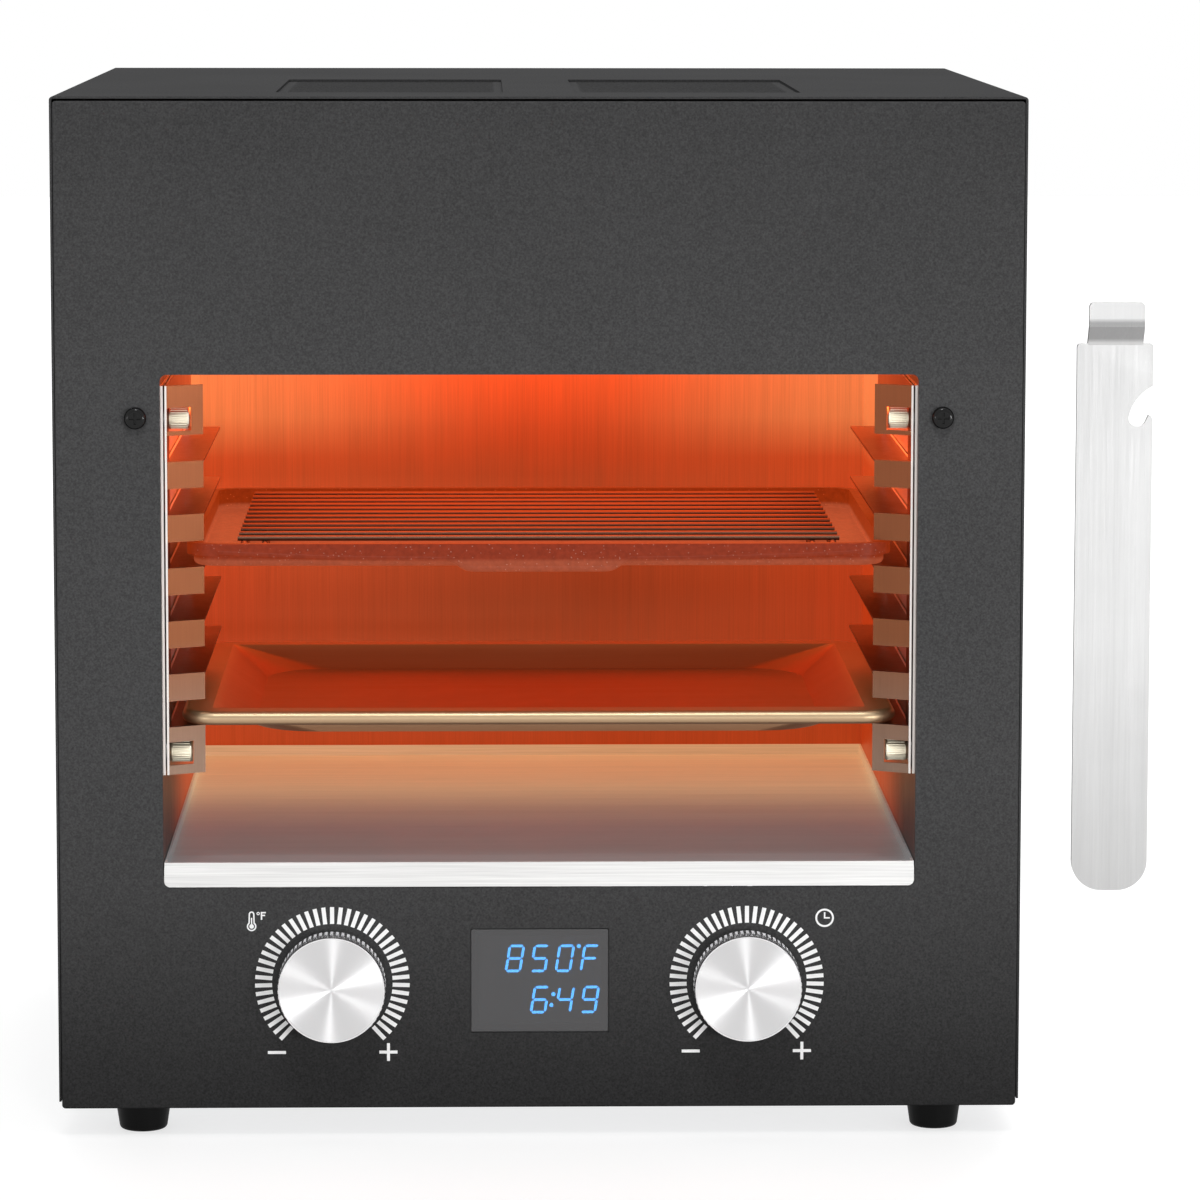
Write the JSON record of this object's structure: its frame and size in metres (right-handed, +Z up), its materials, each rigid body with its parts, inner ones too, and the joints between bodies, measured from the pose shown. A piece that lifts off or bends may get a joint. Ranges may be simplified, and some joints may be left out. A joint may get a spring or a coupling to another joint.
{
  "type": "infrared steak grill",
  "caption": "Countertop infrared grill: charcoal box with an open stainless cavity, two racks with sliding trays, quartz heater above, two knobs and a display.",
  "frame": {"origin": "centre of the cabinet's flat underside; the feet stand 11 mm below it on the counter", "axes": "+Z up, the front with the opening and the knobs faces -Y, +X to the right seen from the front"},
  "size_m": [0.396, 0.3465, 0.379],
  "materials": {
    "charcoal_coat": "fine-textured matte charcoal powder coat",
    "zinc_sheet": "zinc-coated sheet steel",
    "zinc_steel": "zinc-plated steel",
    "black_steel": "black-finished steel",
    "black_rubber": "black moulded rubber",
    "black_plastic": "black moulded plastic",
    "white_plastic": "off-white moulded plastic",
    "brushed_stainless": "brushed stainless sheet",
    "bright_stainless": "bright stainless sheet",
    "polished_sheet": "polished reflector sheet",
    "quartz": "clear fused quartz",
    "glowing_wire": "coiled heating wire at red heat",
    "steatite": "cream steatite",
    "nickel_strip": "nickel-plated steel",
    "nickel_nut": "bright knurled nut",
    "mineral_wool": "pale ceramic fibre blanket",
    "dark_enamel": "dark speckled enamel",
    "chromed_wire": "chromed wire",
    "smoked_glass": "grey smoked glass",
    "encoder_metal": "plated sheet and die casting",
    "display_module": "dark seven-segment module",
    "circuit_board": "green circuit board",
    "brass": "turned brass",
    "relay_case": "blue relay case",
    "transformer_core": "laminated core",
    "heat_sink": "extruded aluminium",
    "white_lead": "silicone-sleeved leads",
    "knob_chrome": "bright fluted knob",
    "spun_aluminium": "spun aluminium disc",
    "white_ink": "white printed ink",
    "lit_segments": "lit blue segments of the display"
  },
  "bodies": {
    "cabinet": {"outer_wrap": "charcoal_coat", "front_panel": "charcoal_coat", "rear_panel": "charcoal_coat", "base_plate": "zinc_sheet", "rubber_feet": "black_rubber", "foot_screws": "zinc_steel", "front_screws": "black_steel", "rear_screws": "black_steel", "cord_gland": "black_plastic", "cavity_liner": "brushed_stainless", "cavity_floor": "brushed_stainless", "cavity_supports": "zinc_sheet", "heater_reflector": "polished_sheet", "quartz_tubes": "quartz", "heater_filaments": "glowing_wire", "tube_end_caps": "steatite", "tube_terminals": "nickel_strip", "tube_brackets": "zinc_sheet", "top_insulation": "mineral_wool", "back_insulation": "mineral_wool", "side_insulation": "mineral_wool", "right_rack": "brushed_stainless", "left_rack": "brushed_stainless", "rack_bolts": "zinc_steel", "rack_spacers": "zinc_steel", "rack_nuts": "nickel_nut", "knob_encoders": "encoder_metal", "encoder_nuts": "zinc_steel", "display_window": "smoked_glass", "display_holder": "black_plastic", "display_module": "display_module", "control_board": "circuit_board", "board_standoffs": "brass", "board_screws": "zinc_steel", "power_board": "circuit_board", "power_board_standoffs": "white_plastic", "power_relay": "relay_case", "power_transformer": "transformer_core", "heat_sink": "heat_sink", "terminal_block": "white_plastic", "fan_frame": "black_plastic", "fan_screws": "black_steel", "thermocouple": "nickel_strip", "thermal_cutout": "nickel_strip", "heater_leads": "white_lead", "signal_leads": "white_lead"},
    "upper_tray": {"upper_tray": "dark_enamel"},
    "wire_grill": {"wire_grill": "chromed_wire"},
    "lower_tray": {"lower_tray": "bright_stainless"},
    "drip_tray": {"drip_tray": "brushed_stainless"},
    "temperature_push": {"temperature_push_contact": "white_plastic"},
    "temperature_knob": {"temperature_knob_shaft": "zinc_steel", "temperature_knob_body": "knob_chrome", "temperature_knob_face": "spun_aluminium"},
    "time_push": {"time_push_contact": "white_plastic"},
    "time_knob": {"time_knob_shaft": "zinc_steel", "time_knob_body": "knob_chrome", "time_knob_face": "spun_aluminium"},
    "fan_rotor": {"fan_rotor": "black_plastic"},
    "tray_handle": {"tray_handle": "bright_stainless"}
  },
  "joints": [
    {"name": "upper_tray_slide", "type": "slide", "parent": "cabinet", "child": "upper_tray", "axis": [0, -1, 0], "range_m": [0, 0.2]},
    {"name": "wire_grill_lift", "type": "slide", "parent": "upper_tray", "child": "wire_grill", "axis": [0, 0, 1], "range_m": [0, 0.028]},
    {"name": "lower_tray_slide", "type": "slide", "parent": "cabinet", "child": "lower_tray", "axis": [0, -1, 0], "range_m": [0, 0.2]},
    {"name": "drip_tray_slide", "type": "slide", "parent": "cabinet", "child": "drip_tray", "axis": [0, -1, 0], "range_m": [0, 0.27]},
    {"name": "temperature_knob_push", "type": "slide", "parent": "cabinet", "child": "temperature_push", "axis": [0, 1, 0], "range_m": [0, 0.0006], "stiffness_N_per_m": 2000, "springref_m": -0.002},
    {"name": "temperature_knob_turn", "type": "hinge", "parent": "temperature_push", "child": "temperature_knob", "pos_m": [-0.0754, -0.17, 0.0463], "axis": [0, 1, 0], "continuous": true},
    {"name": "time_knob_push", "type": "slide", "parent": "cabinet", "child": "time_push", "axis": [0, 1, 0], "range_m": [0, 0.0006], "stiffness_N_per_m": 2000, "springref_m": -0.002},
    {"name": "time_knob_turn", "type": "hinge", "parent": "time_push", "child": "time_knob", "pos_m": [0.0754, -0.17, 0.0463], "axis": [0, 1, 0], "continuous": true},
    {"name": "fan_rotor_spin", "type": "hinge", "parent": "cabinet", "child": "fan_rotor", "pos_m": [0.085, 0.155, 0.042], "axis": [0, 1, 0], "continuous": true},
    {"name": "tray_handle_lift", "type": "slide", "parent": "cabinet", "child": "tray_handle", "axis": [0, 0, 1], "range_m": [0, 0.15]}
  ]
}
